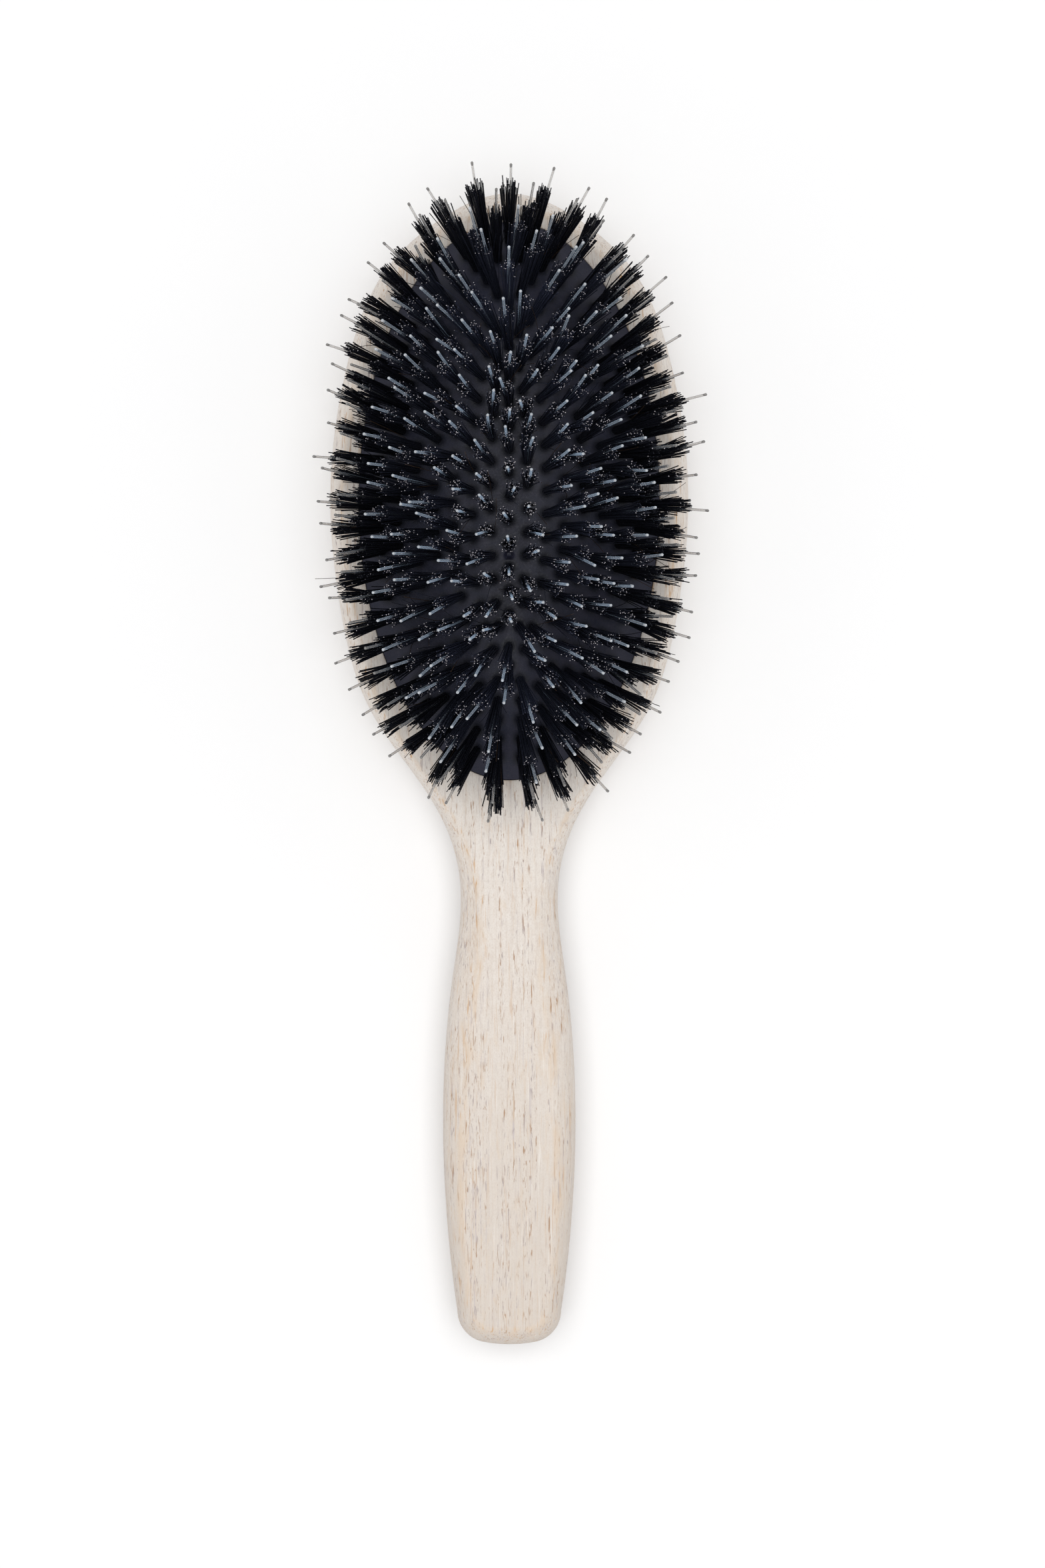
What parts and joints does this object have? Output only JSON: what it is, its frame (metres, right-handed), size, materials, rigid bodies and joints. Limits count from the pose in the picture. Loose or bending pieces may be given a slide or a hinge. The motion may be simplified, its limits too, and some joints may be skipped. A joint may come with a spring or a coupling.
{
  "type": "hairbrush",
  "caption": "Oval cushion hairbrush: wooden head and handle, domed rubber cushion in an oval recess, rings of bristle tufts with a longer pin in each; the cushion sinks when pressed.",
  "frame": {"origin": "on the flat back, under the middle of the oval cushion", "axes": "+Y along the brush towards the tip of the head, +Z the way the bristles stand, +X to the right when seen from the bristle side with the head up"},
  "size_m": [0.0766, 0.2371, 0.0505],
  "materials": {
    "beech": "pale whitewashed beech, fine lengthwise grain with short dark flecks, satin and dry to the touch",
    "rubber": "matte charcoal natural rubber with fine pitting",
    "bristle": "black boar bristle, blue-black sheen along the hairs, pale cut ends",
    "nylon": "translucent grey nylon, smooth, with a rounded tip",
    "steel": "plain drawn wire"
  },
  "bodies": {
    "body": {"beech_body": "beech", "rubber_cushion": "rubber"},
    "ring_1": {"ring_1_tufts": "bristle", "ring_1_pins": "nylon", "ring_1_anchors": "steel"},
    "ring_2": {"ring_2_tufts": "bristle", "ring_2_pins": "nylon", "ring_2_anchors": "steel"},
    "ring_3": {"ring_3_tufts": "bristle", "ring_3_pins": "nylon", "ring_3_anchors": "steel"},
    "ring_4": {"ring_4_tufts": "bristle", "ring_4_pins": "nylon", "ring_4_anchors": "steel"},
    "ring_5": {"ring_5_tufts": "bristle", "ring_5_pins": "nylon", "ring_5_anchors": "steel"},
    "ring_6": {"ring_6_tufts": "bristle", "ring_6_pins": "nylon", "ring_6_anchors": "steel"},
    "ring_7": {"ring_7_tufts": "bristle", "ring_7_pins": "nylon", "ring_7_anchors": "steel"},
    "centre_row": {"centre_row_tufts": "bristle", "centre_row_pins": "nylon", "centre_row_anchors": "steel"}
  },
  "joints": [
    {"name": "cushion_press", "type": "slide", "parent": "body", "child": "centre_row", "axis": [0, 0, -1], "range_m": [0, 0.006], "stiffness_N_per_m": 2000, "springref_m": -0.0005, "deforming": ["rubber_cushion"]},
    {"name": "ring_1_press", "type": "slide", "parent": "body", "child": "ring_1", "axis": [0, 0, -1], "range_m": [0, 0.00158]},
    {"name": "ring_2_press", "type": "slide", "parent": "body", "child": "ring_2", "axis": [0, 0, -1], "range_m": [0, 0.00275]},
    {"name": "ring_3_press", "type": "slide", "parent": "body", "child": "ring_3", "axis": [0, 0, -1], "range_m": [0, 0.00375]},
    {"name": "ring_4_press", "type": "slide", "parent": "body", "child": "ring_4", "axis": [0, 0, -1], "range_m": [0, 0.00456]},
    {"name": "ring_5_press", "type": "slide", "parent": "body", "child": "ring_5", "axis": [0, 0, -1], "range_m": [0, 0.0052]},
    {"name": "ring_6_press", "type": "slide", "parent": "body", "child": "ring_6", "axis": [0, 0, -1], "range_m": [0, 0.00565]},
    {"name": "ring_7_press", "type": "slide", "parent": "body", "child": "ring_7", "axis": [0, 0, -1], "range_m": [0, 0.00592]}
  ],
  "couplings": [
    {"joint": "ring_1_press", "follows": "cushion_press", "ratio": 0.2621},
    {"joint": "ring_2_press", "follows": "cushion_press", "ratio": 0.4582},
    {"joint": "ring_3_press", "follows": "cushion_press", "ratio": 0.6241},
    {"joint": "ring_4_press", "follows": "cushion_press", "ratio": 0.7597},
    {"joint": "ring_5_press", "follows": "cushion_press", "ratio": 0.8652},
    {"joint": "ring_6_press", "follows": "cushion_press", "ratio": 0.9403},
    {"joint": "ring_7_press", "follows": "cushion_press", "ratio": 0.9853}
  ]
}
